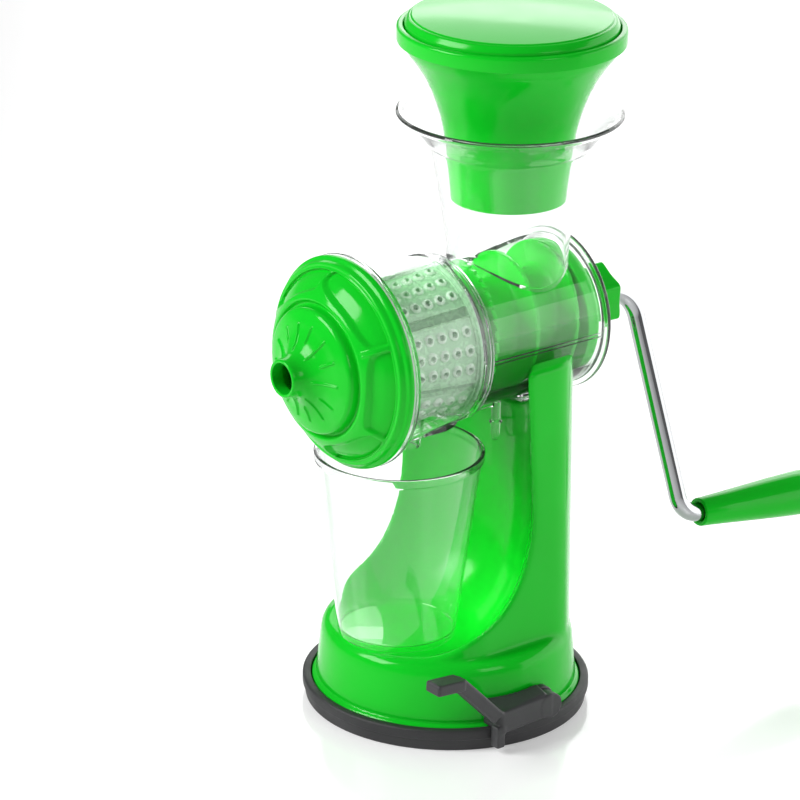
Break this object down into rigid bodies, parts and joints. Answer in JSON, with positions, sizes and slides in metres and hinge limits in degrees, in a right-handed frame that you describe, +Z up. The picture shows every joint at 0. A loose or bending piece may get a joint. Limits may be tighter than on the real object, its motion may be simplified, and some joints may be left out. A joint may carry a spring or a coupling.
{
  "type": "manual juicer",
  "caption": "Hand-crank fruit juicer: suction base with lever, column, clear feed barrel with hopper, strainer, auger, screw cap with pulp nozzle, pusher and cup.",
  "frame": {"origin": "centre of the underside of the suction foot", "axes": "+Z up, -Y towards the pulp nozzle, +Y towards the crank, +X on the side of the suction lever"},
  "size_m": [0.1287, 0.2859, 0.3083],
  "materials": {
    "green": "glossy moulded plastic",
    "charcoal": "satin moulded plastic",
    "rubber": "matt rubber",
    "clear": "clear glossy plastic",
    "frosted": "translucent frosted plastic",
    "nylon": "natural nylon",
    "silicone": "translucent silicone rubber",
    "chrome": "polished chrome plate"
  },
  "bodies": {
    "stand": {"suction_pad": "rubber", "base_shell": "green", "base_plate": "charcoal", "base_screw_1": "chrome", "base_screw_2": "chrome", "base_screw_3": "chrome", "base_screw_4": "chrome", "lever_bush": "charcoal", "feed_barrel": "clear", "feed_hopper": "clear", "head_screw_1": "chrome", "head_screw_2": "chrome", "shaft_bush": "nylon", "juice_chamber": "clear", "mesh_filter": "frosted", "filter_seal": "silicone"},
    "stem": {"suction_stem": "charcoal"},
    "lever": {"suction_lever": "charcoal", "cam_shaft": "chrome"},
    "gasket": {"cap_gasket": "silicone"},
    "cap": {"front_cap": "green"},
    "crank": {"auger": "green", "auger_shaft": "chrome", "shaft_washer": "silicone", "drive_nut": "green", "crank_rod": "chrome", "grip_washer": "chrome"},
    "grip": {"crank_grip": "green", "grip_cap": "green"},
    "pusher": {"pusher_body": "green", "pusher_lid": "green"},
    "cup": {"juice_cup": "clear"}
  },
  "joints": [
    {"name": "crank_spin", "type": "hinge", "parent": "stand", "child": "crank", "pos_m": [0, 0.0584, 0.1688], "axis": [0, 1, 0], "continuous": true},
    {"name": "grip_spin", "type": "hinge", "parent": "crank", "child": "grip", "pos_m": [0.028, 0.12204, 0.0643], "axis": [0.0217, 0.9965, -0.0808], "continuous": true},
    {"name": "pusher_slide", "type": "slide", "parent": "stand", "child": "pusher", "axis": [0, 0, 1], "range_m": [-0.018, 0.06]},
    {"name": "cap_out", "type": "slide", "parent": "stand", "child": "gasket", "axis": [0, -1, 0], "range_m": [0, 0.003]},
    {"name": "cap_turn", "type": "hinge", "parent": "gasket", "child": "cap", "pos_m": [0, -0.0569, 0.1688], "axis": [0, -1, 0], "range_deg": [0, 90]},
    {"name": "lever_turn", "type": "hinge", "parent": "stand", "child": "lever", "pos_m": [0.06, 0.0062, 0.0152], "axis": [-1, 0, 0], "range_deg": [0, 90]},
    {"name": "stem_lift", "type": "slide", "parent": "stand", "child": "stem", "axis": [0, 0, 1], "range_m": [0, 0.003]},
    {"name": "cup_slide", "type": "slide", "parent": "stand", "child": "cup", "axis": [0, -1, 0], "range_m": [0, 0.12]}
  ],
  "couplings": [
    {"joint": "cap_out", "follows": "cap_turn", "m_per_rad": 0.0019099},
    {"joint": "stem_lift", "follows": "lever_turn", "m_per_rad": 0.0019099}
  ]
}
